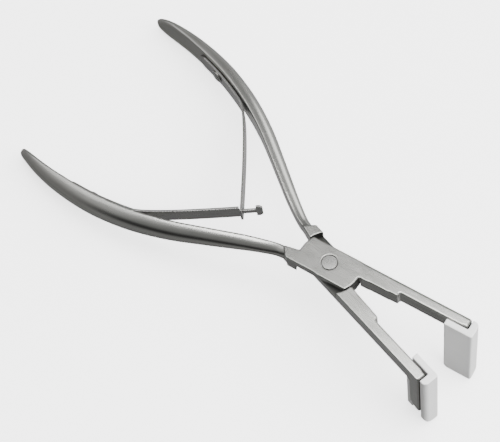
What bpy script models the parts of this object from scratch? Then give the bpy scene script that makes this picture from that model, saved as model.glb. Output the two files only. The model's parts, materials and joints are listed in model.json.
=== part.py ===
"""Hair extension pliers with a lap joint, two hooked leaf springs and sleeved paddles.

Metres, +Z up.  Each half is modelled in its own flat frame: the pivot axis is the
z axis, +x runs along the closed jaws, the handle lies on the negative y side and
z = 0 is the joint's upper face.  The other half is its mirror image.  Empties then
open the halves about the pivot and stand the pliers on their sleeves and handle tips.
"""

import math
from collections import namedtuple

import bmesh
import bpy
from mathutils import Matrix, Vector

MM = 0.001

# Lap joint
JOINT_THICKNESS = 6.5 * MM
LAP_CLEARANCE = 0.25 * MM
PLATE_RADIUS = 10.8 * MM
SHOULDER_CLEARANCE = 0.3 * MM
JAW_SIDE_WIDTH = 5.4 * MM
HANDLE_SIDE_REAR_WIDTH = 5.5 * MM
HANDLE_SIDE_FRONT_WIDTH = 5.9 * MM
OPENING_ANGLE = math.radians(18.8)

# Shoulder between the plate and the handle
SHOULDER_REACH = 16.1 * MM
SHOULDER_INSET = 2.35 * MM
SHOULDER_ROOT_INSET = 0.75 * MM
SHOULDER_OUTER_REACH = 13.4 * MM
SHOULDER_INNER_ROUNDING = 0.35 * MM
SHOULDER_OUTER_ROUNDING = 0.7 * MM

# Pivot rivet
PIVOT_HEAD_RADIUS = 2.55 * MM
PIVOT_HEAD_HEIGHT = 1.3 * MM
PIVOT_SHANK_RADIUS = 2.0 * MM
PIVOT_EDGE_BREAK = 0.15 * MM
PIVOT_CLEARANCE = 0.08 * MM

# Jaw arm and paddle
JAW_REACH = 49.5 * MM
JAW_MEETING_GAP = 0.15 * MM
JAW_INNER_TAPER = 0.5 * MM
JAW_STEP_PLACE = 24.8 * MM
JAW_STEP_RUN = 0.35 * MM
JAW_STEP_FILLET = 0.3 * MM
PADDLE_LENGTH = 4.5 * MM
PADDLE_DROP = 26.9 * MM
PADDLE_CORNER_RADIUS = 4.2 * MM
PADDLE_ROOT_RADIUS = 2.2 * MM
PADDLE_TAPER = 0.35 * MM
JAW_END_RADIUS = 0.5 * MM

# Sleeve
SLEEVE_SLAB = 2.2 * MM
SLEEVE_PROUD = 0.45 * MM
SLEEVE_RIM = 0.5 * MM
SLEEVE_CLEARANCE = 0.2 * MM
SLEEVE_FRONT_GAP = 0.45 * MM
SLEEVE_FRONT_WALL = 2.45 * MM
SLEEVE_BACK_WALL = 2.4 * MM
SLEEVE_FRONT_WIDTH = 5.2 * MM
SLEEVE_BACK_WIDTH = 4.3 * MM
SLEEVE_HEIGHT = 35.0 * MM
SLEEVE_SLAB_CORNER = 2.0 * MM
SLEEVE_WALL_CORNER = 4.4 * MM
SLEEVE_FRONT_CORNER = 1.7 * MM
SLEEVE_EDGE_BREAK = 0.25 * MM
SLEEVE_END_BREAK = 0.6 * MM
SLEEVE_TRIM = 0.05 * MM

# Handle
HANDLE_REACH = 114.9 * MM
HANDLE_BOW = 18.5 * MM
GRIP_WIDTH = 11.0 * MM
GRIP_THICKNESS = 4.95 * MM
TIP_WIDTH_ROUNDING = 8.0 * MM
TIP_THICKNESS_ROUNDING = 1.4 * MM
TIP_END_LAND = 0.012 * MM
NECK_START_SHARE = 0.75

# Leaf springs
LEAF_THICKNESS = 0.8 * MM
LEAF_ROOT_WIDTH = 6.6 * MM
LEAF_ROOT_LEAD = 0.25 * MM
LEAF_TIP_WIDTH = 6.0 * MM
LEAF_SEAT_GAP = 0.15 * MM
LEAF_ROOT_PLACE = 92.5 * MM
LEAF_RIVET_PLACE = 82.5 * MM
LEAF_TAKE_OFF_PLACE = 67.5 * MM
LEAF_BEND_LENGTH = 5.0 * MM
LEAF_CROSSING_BACK = 36.0 * MM
LEAF_CROSSING_SIDE = 3.2 * MM
TONGUE_WIDTH = 2.1 * MM
TONGUE_BEFORE_CROSSING = 0.8 * MM
TONGUE_AFTER_CROSSING = 4.8 * MM
T_HEAD_LENGTH = 2.2 * MM
T_HEAD_CHAMFER = 0.9 * MM
SLOT_LENGTH = 2.2 * MM
SLOT_CLEARANCE = 0.35 * MM
SLOT_END_BRIDGE = 0.9 * MM
SLOT_END_CHAMFER = 0.7 * MM

# Spring rivets
LEAF_RIVET_HEAD_RADIUS = 2.4 * MM
LEAF_RIVET_HEAD_HEIGHT = 0.95 * MM
LEAF_RIVET_RIM = 0.2 * MM
LEAF_RIVET_SHANK_RADIUS = 1.25 * MM
LEAF_RIVET_DEPTH = 2.6 * MM
LEAF_RIVET_CLEARANCE = 0.15 * MM

# Fineness and overruns
OVERRUN = 3.0 * MM
ARC_STEP = math.radians(12)
ROUND_SEGMENTS = 96
TURNED_SEGMENTS = 48
SECTION_STEPS = 18
HANDLE_STATIONS = 44
TIP_STATIONS = 9
LEAF_ROOT_STATIONS = 14
LEAF_FREE_STATIONS = 26
DOME_STEPS = 6
SLOPE_SHARE = 0.0045
WELD_DISTANCE = 0.002 * MM
TILT_TOLERANCE = math.radians(0.00001)
SHARP_ANGLE = math.radians(28)

# Handle, from the neck inside the joint to the tip: place along it, inset of its flat
# inner face, width, thickness, and the fullness of its rounded back
HANDLE_SHARES = (
    (0.000, 0.041, 0.680, 0.830, 6.0),
    (0.046, 0.093, 0.636, 0.700, 4.6),
    (0.074, 0.125, 0.582, 0.586, 3.4),
    (0.097, 0.134, 0.470, 0.525, 2.7),
    (0.130, 0.176, 0.473, 0.606, 2.3),
    (0.168, 0.237, 0.527, 0.687, 2.2),
    (0.205, 0.307, 0.586, 0.747, 2.2),
    (0.317, 0.539, 0.727, 0.828, 2.2),
    (0.430, 0.753, 0.845, 0.909, 2.2),
    (0.542, 0.909, 0.927, 0.970, 2.2),
    (0.655, 0.990, 0.982, 0.982, 2.2),
    (0.748, 1.000, 1.000, 0.933, 2.2),
    (0.842, 0.963, 0.991, 0.828, 2.2),
    (0.917, 0.899, 0.973, 0.673, 2.2),
    (0.973, 0.827, 0.950, 0.525, 2.2),
    (1.000, 0.784, 0.927, 0.444, 2.2),
)

# Leaf width between its root and its tip, as shares of the change between the two
LEAF_WIDTH_SHARES = ((0.0, 0.0), (0.28, 0.03), (0.45, 0.45), (0.7, 0.85), (1.0, 1.0))

Half = namedtuple("Half", "name side on_top tongue colour")
TOP_HALF = Half("top_half", 1, True, True, (0.60, 0.60, 0.58, 1.0))
BOTTOM_HALF = Half("bottom_half", -1, False, False, (0.58, 0.58, 0.56, 1.0))


def clear_scene():
    for existing in list(bpy.data.objects):
        bpy.data.objects.remove(existing, do_unlink=True)


def new_collection(name):
    collection = bpy.data.collections.new(name)
    bpy.context.scene.collection.children.link(collection)
    return collection


def material(name, colour, roughness, metallic):
    made = bpy.data.materials.new(name)
    made.use_nodes = True
    made.diffuse_color = colour
    shader = made.node_tree.nodes["Principled BSDF"]
    shader.inputs["Base Color"].default_value = colour
    shader.inputs["Roughness"].default_value = roughness
    shader.inputs["Metallic"].default_value = metallic
    return made


def mesh_object(name, mesh, collection):
    made = bpy.data.objects.new(name, mesh)
    collection.objects.link(made)
    return made


def as_cutter(made):
    made.hide_render = True
    made.display_type = "WIRE"
    return made


def boolean(target, tool, operation):
    modifier = target.modifiers.new(tool.name, "BOOLEAN")
    modifier.operation = operation
    modifier.solver = "EXACT"
    modifier.object = tool


def evaluated_mesh(made):
    bpy.context.view_layer.update()
    depsgraph = bpy.context.evaluated_depsgraph_get()
    return bpy.data.meshes.new_from_object(made.evaluated_get(depsgraph))


def shade(made):
    made.data.shade_smooth()
    made.data.set_sharp_from_angle(angle=SHARP_ANGLE)


def box(name, low, high, collection):
    mesh = bpy.data.meshes.new(name)
    form = bmesh.new()
    bmesh.ops.create_cube(form, size=1)
    middle = [(a + b) / 2 for a, b in zip(low, high)]
    extent = [b - a for a, b in zip(low, high)]
    bmesh.ops.scale(form, vec=extent, verts=form.verts)
    bmesh.ops.translate(form, vec=middle, verts=form.verts)
    form.to_mesh(mesh)
    form.free()
    return mesh_object(name, mesh, collection)


def cylinder(name, radius, low, high, segments, collection):
    mesh = bpy.data.meshes.new(name)
    form = bmesh.new()
    bmesh.ops.create_cone(form, cap_ends=True, segments=segments, radius1=radius, radius2=radius, depth=high - low)
    bmesh.ops.translate(form, vec=(0, 0, (low + high) / 2), verts=form.verts)
    form.to_mesh(mesh)
    form.free()
    return mesh_object(name, mesh, collection)


def rounded_outline(corners):
    """Closed outline through corners (x, y, radius), with an arc at each corner."""
    points = []
    for index, (x, y, radius) in enumerate(corners):
        corner = Vector((x, y))
        if radius == 0:
            points.append(corner)
            continue
        before = (Vector(corners[index - 1][:2]) - corner).normalized()
        after = (Vector(corners[(index + 1) % len(corners)][:2]) - corner).normalized()
        half_angle = before.angle(after) / 2
        reach = radius / math.tan(half_angle)
        centre = corner + (before + after).normalized() * radius / math.sin(half_angle)
        start = corner + before * reach - centre
        end = corner + after * reach - centre
        first = math.atan2(start.y, start.x)
        sweep = (math.atan2(end.y, end.x) - first + math.pi) % (2 * math.pi) - math.pi
        steps = max(2, math.ceil(abs(sweep) / ARC_STEP))
        for step in range(steps + 1):
            angle = first + sweep * step / steps
            points.append(centre + Vector((math.cos(angle), math.sin(angle))) * radius)
    return points


def flat_solid(name, outline, low, high, frame, collection, edge_break=0):
    """Closed solid from a flat outline, thick from low to high along the frame's z axis."""
    curve = bpy.data.curves.new(name, "CURVE")
    curve.dimensions = "2D"
    curve.fill_mode = "BOTH"
    curve.extrude = (high - low) / 2 - edge_break
    curve.bevel_depth = edge_break
    curve.bevel_resolution = 1
    curve.offset = -edge_break
    spline = curve.splines.new("POLY")
    spline.points.add(len(outline) - 1)
    for point, place in zip(spline.points, outline):
        point.co = (place[0], place[1], 0, 1)
    spline.use_cyclic_u = True
    drawn = mesh_object(name, curve, collection)
    mesh = evaluated_mesh(drawn)
    bpy.data.objects.remove(drawn, do_unlink=True)
    form = bmesh.new()
    form.from_mesh(mesh)
    bmesh.ops.remove_doubles(form, verts=form.verts, dist=WELD_DISTANCE)
    bmesh.ops.translate(form, vec=(0, 0, (low + high) / 2), verts=form.verts)
    bmesh.ops.transform(form, matrix=frame, verts=form.verts)
    bmesh.ops.recalc_face_normals(form, faces=form.faces)
    form.to_mesh(mesh)
    form.free()
    return mesh_object(name, mesh, collection)


def side_solid(name, outline, low, high, collection):
    """Closed solid from an outline in the side view (x, z), between two places along y."""
    upright = Matrix.Rotation(math.radians(90), 4, "X")
    return flat_solid(name, outline, -high, -low, upright, collection)


def turned(name, profile, collection):
    """Solid of revolution about z; the profile (radius, z) runs from top to bottom."""
    mesh = bpy.data.meshes.new(name)
    form = bmesh.new()
    ring = [form.verts.new((radius, 0, z)) for radius, z in profile]
    for upper, lower in zip(ring, ring[1:]):
        form.edges.new((upper, lower))
    form.to_mesh(mesh)
    form.free()
    made = mesh_object(name, mesh, collection)
    screw = made.modifiers.new("turn", "SCREW")
    screw.steps = TURNED_SEGMENTS
    screw.render_steps = TURNED_SEGMENTS
    screw.use_merge_vertices = True
    screw.merge_threshold = WELD_DISTANCE
    return made


def loft(name, rings, collection):
    """Closed skin over rings of equally many points."""
    mesh = bpy.data.meshes.new(name)
    form = bmesh.new()
    levels = [[form.verts.new(place) for place in ring] for ring in rings]
    for lower, upper in zip(levels, levels[1:]):
        for index in range(len(lower)):
            following = (index + 1) % len(lower)
            form.faces.new((lower[index], lower[following], upper[following], upper[index]))
    form.faces.new(levels[0])
    form.faces.new(levels[-1])
    bmesh.ops.recalc_face_normals(form, faces=form.faces)
    form.to_mesh(mesh)
    form.free()
    return mesh_object(name, mesh, collection)


def smooth_share(table, place, column):
    """Value of a table's column at a place along it, on a smooth curve through its rows."""
    last = len(table) - 2
    row = max(0, min(last, sum(1 for entry in table if entry[0] <= place) - 1))
    before = table[max(0, row - 1)]
    start = table[row]
    end = table[row + 1]
    after = table[min(last + 1, row + 2)]
    span = end[0] - start[0]
    leave = (end[column] - before[column]) / (end[0] - before[0]) * span
    arrive = (after[column] - start[column]) / (after[0] - start[0]) * span
    t = (place - start[0]) / span
    rise = end[column] - start[column]
    bulge = leave * (1 - t) - arrive * t + rise * (2 * t - 1)
    return start[column] + rise * t + t * (1 - t) * bulge


def handle_start():
    return PLATE_RADIUS * NECK_START_SHARE


def handle_place(distance):
    """Share along the handle at a distance behind the pivot."""
    return (distance - handle_start()) / (HANDLE_REACH - handle_start())


def inner_face(place):
    """Point of the handle's flat inner face at a share along it."""
    distance = handle_start() + (HANDLE_REACH - handle_start()) * place
    return Vector((-distance, -HANDLE_BOW * smooth_share(HANDLE_SHARES, place, 1)))


def inner_frame(place):
    """Point of the inner face, its direction towards the tip, and its outward normal."""
    ahead = inner_face(min(1, place + SLOPE_SHARE))
    behind = inner_face(max(0, place - SLOPE_SHARE))
    along = (ahead - behind).normalized()
    return inner_face(place), along, Vector((along.y, -along.x))


def end_rounding(remaining, length):
    """Share of full size left near an end that is rounded over a length."""
    if remaining >= length:
        return 1.0
    inset = 1 - remaining / length
    return math.sqrt(max(0, 1 - inset * inset))


def handle_section(place, half):
    """Ring of points round the handle: a flat inner face and a full, rounded back."""
    origin, along, inward = inner_frame(place)
    remaining = (1 - place) * (HANDLE_REACH - handle_start())
    width = GRIP_WIDTH * smooth_share(HANDLE_SHARES, place, 2)
    width *= end_rounding(remaining, TIP_WIDTH_ROUNDING)
    depth = GRIP_THICKNESS * smooth_share(HANDLE_SHARES, place, 3)
    rounded_depth = depth * end_rounding(remaining, TIP_THICKNESS_ROUNDING)
    fullness = smooth_share(HANDLE_SHARES, place, 4)
    ring = []
    for step in range(SECTION_STEPS + 1):
        angle = math.pi * step / SECTION_STEPS
        across = math.copysign(abs(math.cos(angle)) ** (2 / fullness), math.cos(angle)) * width / 2
        back = math.sin(angle) ** (2 / fullness) * rounded_depth + (depth - rounded_depth) / 2
        spot = origin - inward * back
        ring.append((spot.x, spot.y * half.side, across - JOINT_THICKNESS / 2))
    return ring


def handle_blank(half, cutters):
    """Lofted handle, from inside the joint to its rounded tip."""
    tip_share = TIP_WIDTH_ROUNDING / (HANDLE_REACH - handle_start())
    places = [(1 - tip_share) * step / HANDLE_STATIONS for step in range(HANDLE_STATIONS)]
    for step in range(TIP_STATIONS):
        places.append(1 - tip_share * math.cos(math.pi / 2 * step / TIP_STATIONS))
    places.append(1 - TIP_END_LAND / (HANDLE_REACH - handle_start()))
    return loft(half.name + "_forging", [handle_section(place, half) for place in places], cutters)


def joint_block(half, cutters):
    """The joint's round plate, cut to the width of the half."""
    disc = as_cutter(cylinder(half.name + "_disc", PLATE_RADIUS, -JOINT_THICKNESS, 0, ROUND_SEGMENTS, cutters))
    reach = PLATE_RADIUS + OVERRUN
    strip = [
        (-reach, -HANDLE_SIDE_REAR_WIDTH * half.side),
        (reach, -HANDLE_SIDE_FRONT_WIDTH * half.side),
        (reach, JAW_SIDE_WIDTH * half.side),
        (-reach, JAW_SIDE_WIDTH * half.side),
    ]
    slab = flat_solid(half.name + "_strip", strip, -JOINT_THICKNESS - OVERRUN, OVERRUN, Matrix(), cutters)
    boolean(disc, as_cutter(slab), "INTERSECT")
    return disc


def shoulder_block(half, cutters):
    """Full-height shoulder that carries the joint's flat faces a little way onto the handle."""
    plan = rounded_outline([
        (-handle_start(), -SHOULDER_ROOT_INSET * half.side, 0),
        (-SHOULDER_REACH, -SHOULDER_INSET * half.side, SHOULDER_INNER_ROUNDING),
        (-SHOULDER_OUTER_REACH, -HANDLE_SIDE_REAR_WIDTH * half.side, SHOULDER_OUTER_ROUNDING),
        (-handle_start(), -HANDLE_SIDE_REAR_WIDTH * half.side, 0),
    ])
    return as_cutter(flat_solid(half.name + "_shoulder", plan, -JOINT_THICKNESS, 0, Matrix(), cutters))


def paddle_inner_face():
    """Distance of the paddle's inner face, and of the thin arm's, from the plane through the pivot."""
    return SLEEVE_SLAB + SLEEVE_CLEARANCE - SLEEVE_PROUD


def jaw_arm(half, cutters):
    """Jaw arm and hanging paddle, where the plan view and the side view meet."""
    inner = paddle_inner_face()
    step_end = JAW_STEP_PLACE + JAW_STEP_RUN
    paddle_back = JAW_REACH - PADDLE_LENGTH
    plan = rounded_outline([
        (0, JAW_SIDE_WIDTH * half.side, 0),
        (0, JAW_MEETING_GAP * half.side, 0),
        (PLATE_RADIUS, JAW_MEETING_GAP * half.side, 0),
        (JAW_STEP_PLACE, (JAW_MEETING_GAP + JAW_INNER_TAPER) * half.side, JAW_STEP_FILLET),
        (step_end, inner * half.side, JAW_STEP_FILLET),
        (paddle_back, inner * half.side, 0),
        (JAW_REACH, (inner + PADDLE_TAPER) * half.side, 0),
        (JAW_REACH, JAW_SIDE_WIDTH * half.side, JAW_END_RADIUS),
    ])
    profile = rounded_outline([
        (-OVERRUN, 0, 0),
        (-OVERRUN, -JOINT_THICKNESS, 0),
        (paddle_back, -JOINT_THICKNESS, PADDLE_ROOT_RADIUS),
        (paddle_back, -PADDLE_DROP, PADDLE_CORNER_RADIUS),
        (JAW_REACH + OVERRUN, -PADDLE_DROP, 0),
        (JAW_REACH + OVERRUN, 0, 0),
    ])
    arm = flat_solid(half.name + "_arm", plan, -PADDLE_DROP - OVERRUN, 0, Matrix(), cutters)
    reach = JAW_SIDE_WIDTH + OVERRUN
    side_view = side_solid(half.name + "_arm_side", profile, -reach, reach, cutters)
    boolean(as_cutter(arm), as_cutter(side_view), "INTERSECT")
    return arm


def grinding(half, cutters):
    """Material ground off above and below the joint's flat faces."""
    reach = PLATE_RADIUS + GRIP_WIDTH
    tall = JOINT_THICKNESS + GRIP_WIDTH
    above = box(half.name + "_ground_above", (-reach, -reach, 0), (reach, reach, tall), cutters)
    below = box(half.name + "_ground_below", (-reach, -reach, -JOINT_THICKNESS - tall),
                (reach, reach, -JOINT_THICKNESS), cutters)
    return as_cutter(above), as_cutter(below)


def lap_recess(half, cutters):
    """Room for the other half's plate, on the level that this half leaves free."""
    lap = LAP_CLEARANCE / 2
    middle = -JOINT_THICKNESS / 2
    low, high = (-JOINT_THICKNESS - OVERRUN, middle + lap) if half.on_top else (middle - lap, OVERRUN)
    radius = PLATE_RADIUS + SHOULDER_CLEARANCE
    return as_cutter(cylinder(half.name + "_recess", radius, low, high, ROUND_SEGMENTS, cutters))


def pivot_profile(clearance, end_overrun):
    """Half outline of the pivot rivet, or of its hole with a clearance all round."""
    head = PIVOT_HEAD_RADIUS + clearance
    shank = PIVOT_SHANK_RADIUS + clearance
    under_head = -PIVOT_HEAD_HEIGHT - clearance
    over_head = -JOINT_THICKNESS + PIVOT_HEAD_HEIGHT + clearance
    edge = 0 if end_overrun else PIVOT_EDGE_BREAK
    profile = [(0, end_overrun), (head - edge, end_overrun)]
    if edge:
        profile.append((head, -edge))
    profile += [(head, under_head), (shank, under_head), (shank, over_head), (head, over_head)]
    if edge:
        profile.append((head, edge - JOINT_THICKNESS))
    profile += [(head - edge, -JOINT_THICKNESS - end_overrun), (0, -JOINT_THICKNESS - end_overrun)]
    return profile


def leaf_rivet_frame(half):
    """Seat of the spring rivet: on the inner face, with z pointing out of it."""
    origin, along, inward = inner_frame(handle_place(LEAF_RIVET_PLACE))
    across = Vector((0, 0, 1))
    out = Vector((inward.x, inward.y * half.side, 0))
    side = across.cross(out)
    rotation = Matrix((side, across, out)).transposed().to_4x4()
    return Matrix.Translation((origin.x, origin.y * half.side, -JOINT_THICKNESS / 2)) @ rotation


def leaf_rivet_hole(half, cutters):
    radius = LEAF_RIVET_SHANK_RADIUS + LEAF_RIVET_CLEARANCE
    depth = LEAF_RIVET_DEPTH + LEAF_RIVET_CLEARANCE
    hole = cylinder(half.name + "_rivet_hole", radius, -depth, OVERRUN, TURNED_SEGMENTS, cutters)
    hole.matrix_world = leaf_rivet_frame(half)
    return as_cutter(hole)


def forging(half, parts, cutters, rivet_hole):
    """One half of the pliers: handle, lap plate, jaw arm and paddle in one piece."""
    made = handle_blank(half, parts)
    for cutter in grinding(half, cutters):
        boolean(made, cutter, "DIFFERENCE")
    boolean(made, joint_block(half, cutters), "UNION")
    boolean(made, shoulder_block(half, cutters), "UNION")
    boolean(made, jaw_arm(half, cutters), "UNION")
    boolean(made, lap_recess(half, cutters), "DIFFERENCE")
    bore = turned(half.name + "_pivot_bore", pivot_profile(PIVOT_CLEARANCE, OVERRUN), cutters)
    boolean(made, as_cutter(bore), "DIFFERENCE")
    boolean(made, rivet_hole, "DIFFERENCE")
    shade(made)
    made.data.materials.append(material(half.name + "_steel", half.colour, 0.32, 1.0))
    return made


def pivot_rivet(parts):
    made = turned("pivot_rivet", pivot_profile(0, 0), parts)
    made.data.materials.append(material("pivot_steel", (0.56, 0.56, 0.54, 1.0), 0.36, 1.0))
    return made


def sleeve(half, parts, cutters):
    """White sleeve: a slab on the paddle's inner face, with a front and a back wall."""
    side = half.side
    face = -SLEEVE_PROUD
    slab = face + SLEEVE_SLAB
    bottom = SLEEVE_RIM - SLEEVE_HEIGHT
    front_inside = JAW_REACH + SLEEVE_FRONT_GAP
    front = front_inside + SLEEVE_FRONT_WALL
    back_inside = JAW_REACH - PADDLE_LENGTH - SLEEVE_CLEARANCE
    back = back_inside - SLEEVE_BACK_WALL
    plan = rounded_outline([
        (back, face * side, 0),
        (front, face * side, SLEEVE_END_BREAK),
        (front, SLEEVE_FRONT_WIDTH * side, SLEEVE_FRONT_CORNER),
        (front_inside, SLEEVE_FRONT_WIDTH * side, 0),
        (front_inside, slab * side, 0),
        (back_inside, slab * side, 0),
        (back_inside, SLEEVE_BACK_WIDTH * side, 0),
        (back, SLEEVE_BACK_WIDTH * side, 0),
    ])
    under = bottom - OVERRUN
    made = flat_solid(half.name + "_sleeve", plan, under, SLEEVE_RIM, Matrix(), parts, SLEEVE_EDGE_BREAK)
    profile = rounded_outline([
        (back - SLEEVE_TRIM, SLEEVE_RIM + OVERRUN, 0),
        (back - SLEEVE_TRIM, bottom, SLEEVE_SLAB_CORNER),
        (front + OVERRUN, bottom, 0),
        (front + OVERRUN, SLEEVE_RIM + OVERRUN, 0),
    ])
    reach = SLEEVE_FRONT_WIDTH + OVERRUN
    side_view = side_solid(half.name + "_sleeve_side", profile, -reach, reach, cutters)
    boolean(made, as_cutter(side_view), "INTERSECT")
    outside = (SLEEVE_FRONT_WIDTH + SLEEVE_TRIM) * side
    end_profile = rounded_outline([
        (-reach * side, SLEEVE_RIM + OVERRUN, 0),
        (-reach * side, bottom - SLEEVE_TRIM, 0),
        (outside, bottom - SLEEVE_TRIM, SLEEVE_WALL_CORNER),
        (outside, SLEEVE_RIM + OVERRUN, 0),
    ])
    along = Matrix.Rotation(math.radians(90), 4, "Z") @ Matrix.Rotation(math.radians(90), 4, "X")
    end_view = flat_solid(half.name + "_sleeve_end", end_profile, back - OVERRUN, front + OVERRUN, along, cutters)
    boolean(made, as_cutter(end_view), "INTERSECT")
    under_arm = -JOINT_THICKNESS - SLEEVE_CLEARANCE
    near, far = sorted(((slab + SLEEVE_TRIM) * side, reach * side))
    under_fillet = rounded_outline([
        (back - OVERRUN, SLEEVE_RIM + OVERRUN, 0),
        (back - OVERRUN, under_arm, 0),
        (back_inside, under_arm, PADDLE_ROOT_RADIUS - SLEEVE_CLEARANCE),
        (back_inside, under_arm - PADDLE_ROOT_RADIUS, 0),
        (back_inside + SLEEVE_CLEARANCE, under_arm - PADDLE_ROOT_RADIUS, 0),
        (back_inside + SLEEVE_CLEARANCE, SLEEVE_RIM + OVERRUN, 0),
    ])
    notch = side_solid(half.name + "_sleeve_notch", under_fillet, near, far, cutters)
    boolean(made, as_cutter(notch), "DIFFERENCE")
    shade(made)
    made.data.materials.append(material(half.name + "_white_plastic", (0.87, 0.87, 0.85, 1.0), 0.42, 0.0))
    return made


def crossing_point(half):
    """Where the leaves cross at rest, in this half's own frame and before mirroring."""
    sideways = -LEAF_CROSSING_SIDE * half.side
    turn = Matrix.Rotation(-OPENING_ANGLE / 2, 2)
    return turn @ Vector((-LEAF_CROSSING_BACK, sideways))


def leaf_path(half):
    """Middle line of a leaf: along the handle, then free to the crossing and past it."""
    lift = LEAF_SEAT_GAP + LEAF_THICKNESS / 2
    points = []
    for step in range(LEAF_ROOT_STATIONS + 1):
        distance = LEAF_ROOT_PLACE + (LEAF_TAKE_OFF_PLACE - LEAF_ROOT_PLACE) * step / LEAF_ROOT_STATIONS
        origin, along, inward = inner_frame(handle_place(distance))
        points.append(origin + inward * lift)
    take_off = points[-1]
    bend = take_off - along * LEAF_BEND_LENGTH
    crossing = crossing_point(half)
    for step in range(1, LEAF_FREE_STATIONS + 1):
        t = step / LEAF_FREE_STATIONS
        points.append(take_off * (1 - t) ** 2 + bend * 2 * t * (1 - t) + crossing * t ** 2)
    direction = (crossing - bend).normalized()
    past = TONGUE_AFTER_CROSSING + T_HEAD_LENGTH if half.tongue else SLOT_LENGTH / 2 + SLOT_END_BRIDGE
    chamfer = T_HEAD_CHAMFER if half.tongue else SLOT_END_CHAMFER
    points.append(crossing + direction * (past - chamfer))
    points.append(crossing + direction * past)
    return points, direction


def leaf_half_width(run, total):
    """Half the leaf's width at a run along it, with a round root and a narrowing blade."""
    share = smooth_share(LEAF_WIDTH_SHARES, min(1, run / total), 1)
    width = LEAF_ROOT_WIDTH + (LEAF_TIP_WIDTH - LEAF_ROOT_WIDTH) * share
    return width / 2 * end_rounding(run + LEAF_ROOT_LEAD, LEAF_ROOT_WIDTH / 2)


def leaf_blank(half, points, parts):
    """Strip bent along the leaf's path and thickened on both sides."""
    runs = [0.0]
    for first, second in zip(points, points[1:]):
        runs.append(runs[-1] + (second - first).length)
    name = "tongue_spring_leaf" if half.tongue else "slotted_spring_leaf"
    mesh = bpy.data.meshes.new(name)
    form = bmesh.new()
    bmesh.ops.create_grid(form, x_segments=len(points) - 1, y_segments=1, size=1)
    chamfer = T_HEAD_CHAMFER if half.tongue else SLOT_END_CHAMFER
    for vertex in form.verts:
        index = round((vertex.co.x + 1) / 2 * (len(points) - 1))
        half_width = leaf_half_width(runs[index], runs[-1])
        if index == len(points) - 1:
            half_width -= chamfer
        level = math.copysign(half_width, vertex.co.y) - JOINT_THICKNESS / 2
        vertex.co = (points[index].x, points[index].y * half.side, level)
    form.to_mesh(mesh)
    form.free()
    made = mesh_object(name, mesh, parts)
    thicken = made.modifiers.new("thickness", "SOLIDIFY")
    thicken.thickness = LEAF_THICKNESS
    thicken.offset = 0
    return made


def leaf_box(name, half, direction, along, across, cutters):
    """Cutter through a leaf near the crossing, given by runs along it and heights across it."""
    cutter = box(name, (along[0], -OVERRUN, across[0]), (along[1], OVERRUN, across[1]), cutters)
    crossing = crossing_point(half)
    heading = math.atan2(direction.y * half.side, direction.x)
    place = Matrix.Translation((crossing.x, crossing.y * half.side, -JOINT_THICKNESS / 2))
    cutter.matrix_world = place @ Matrix.Rotation(heading, 4, "Z")
    return as_cutter(cutter)


def spring_leaf(half, parts, cutters, rivet_hole):
    """Leaf spring, with a tongue and T head on one half and a slot on the other."""
    points, direction = leaf_path(half)
    made = leaf_blank(half, points, parts)
    if half.tongue:
        run = (-TONGUE_BEFORE_CROSSING, TONGUE_AFTER_CROSSING)
        notch = LEAF_ROOT_WIDTH
        for label, across in (("upper", (TONGUE_WIDTH / 2, notch)), ("lower", (-notch, -TONGUE_WIDTH / 2))):
            boolean(made, leaf_box("tongue_notch_" + label, half, direction, run, across, cutters), "DIFFERENCE")
    else:
        height = TONGUE_WIDTH / 2 + SLOT_CLEARANCE
        run = (-SLOT_LENGTH / 2, SLOT_LENGTH / 2)
        boolean(made, leaf_box("leaf_slot", half, direction, run, (-height, height), cutters), "DIFFERENCE")
    boolean(made, rivet_hole, "DIFFERENCE")
    shade(made)
    made.data.materials.append(material(made.name + "_steel", (0.50, 0.50, 0.48, 1.0), 0.30, 1.0))
    return made


def leaf_rivet(half, parts):
    """Domed rivet through the leaf into the handle."""
    name = "tongue_leaf_rivet" if half.tongue else "slotted_leaf_rivet"
    seat = LEAF_SEAT_GAP * 2 + LEAF_THICKNESS
    dome = LEAF_RIVET_HEAD_HEIGHT - LEAF_RIVET_RIM
    profile = []
    for step in range(DOME_STEPS + 1):
        angle = math.pi / 2 * step / DOME_STEPS
        profile.append((LEAF_RIVET_HEAD_RADIUS * math.sin(angle), seat + LEAF_RIVET_RIM + dome * math.cos(angle)))
    profile += [
        (LEAF_RIVET_HEAD_RADIUS, seat),
        (LEAF_RIVET_SHANK_RADIUS, seat),
        (LEAF_RIVET_SHANK_RADIUS, -LEAF_RIVET_DEPTH),
        (0, -LEAF_RIVET_DEPTH),
    ]
    made = turned(name, profile, parts)
    made.matrix_world = leaf_rivet_frame(half)
    made.data.materials.append(material(name + "_steel", (0.62, 0.62, 0.60, 1.0), 0.28, 1.0))
    return made


def parent_all(made_objects, empty):
    for made in made_objects:
        if made.parent is None:
            made.parent = empty


def new_empty(name, collection, parent=None):
    empty = bpy.data.objects.new(name, None)
    collection.objects.link(empty)
    empty.parent = parent
    return empty


def world_points(made_objects):
    bpy.context.view_layer.update()
    depsgraph = bpy.context.evaluated_depsgraph_get()
    points = []
    for made in made_objects:
        final = made.evaluated_get(depsgraph)
        points += [final.matrix_world @ vertex.co for vertex in final.data.vertices]
    return points


def standing_tilt(front, back):
    """Tilt that brings the lowest front point and the lowest back point to one level."""
    low, high = 0.0, math.pi / 4
    while high - low > TILT_TOLERANCE:
        tilt = (low + high) / 2
        rise = math.tan(tilt)
        front_level = min(point.z + point.x * rise for point in front)
        back_level = min(point.z + point.x * rise for point in back)
        if back_level > front_level:
            low = tilt
        else:
            high = tilt
    return low


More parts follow.
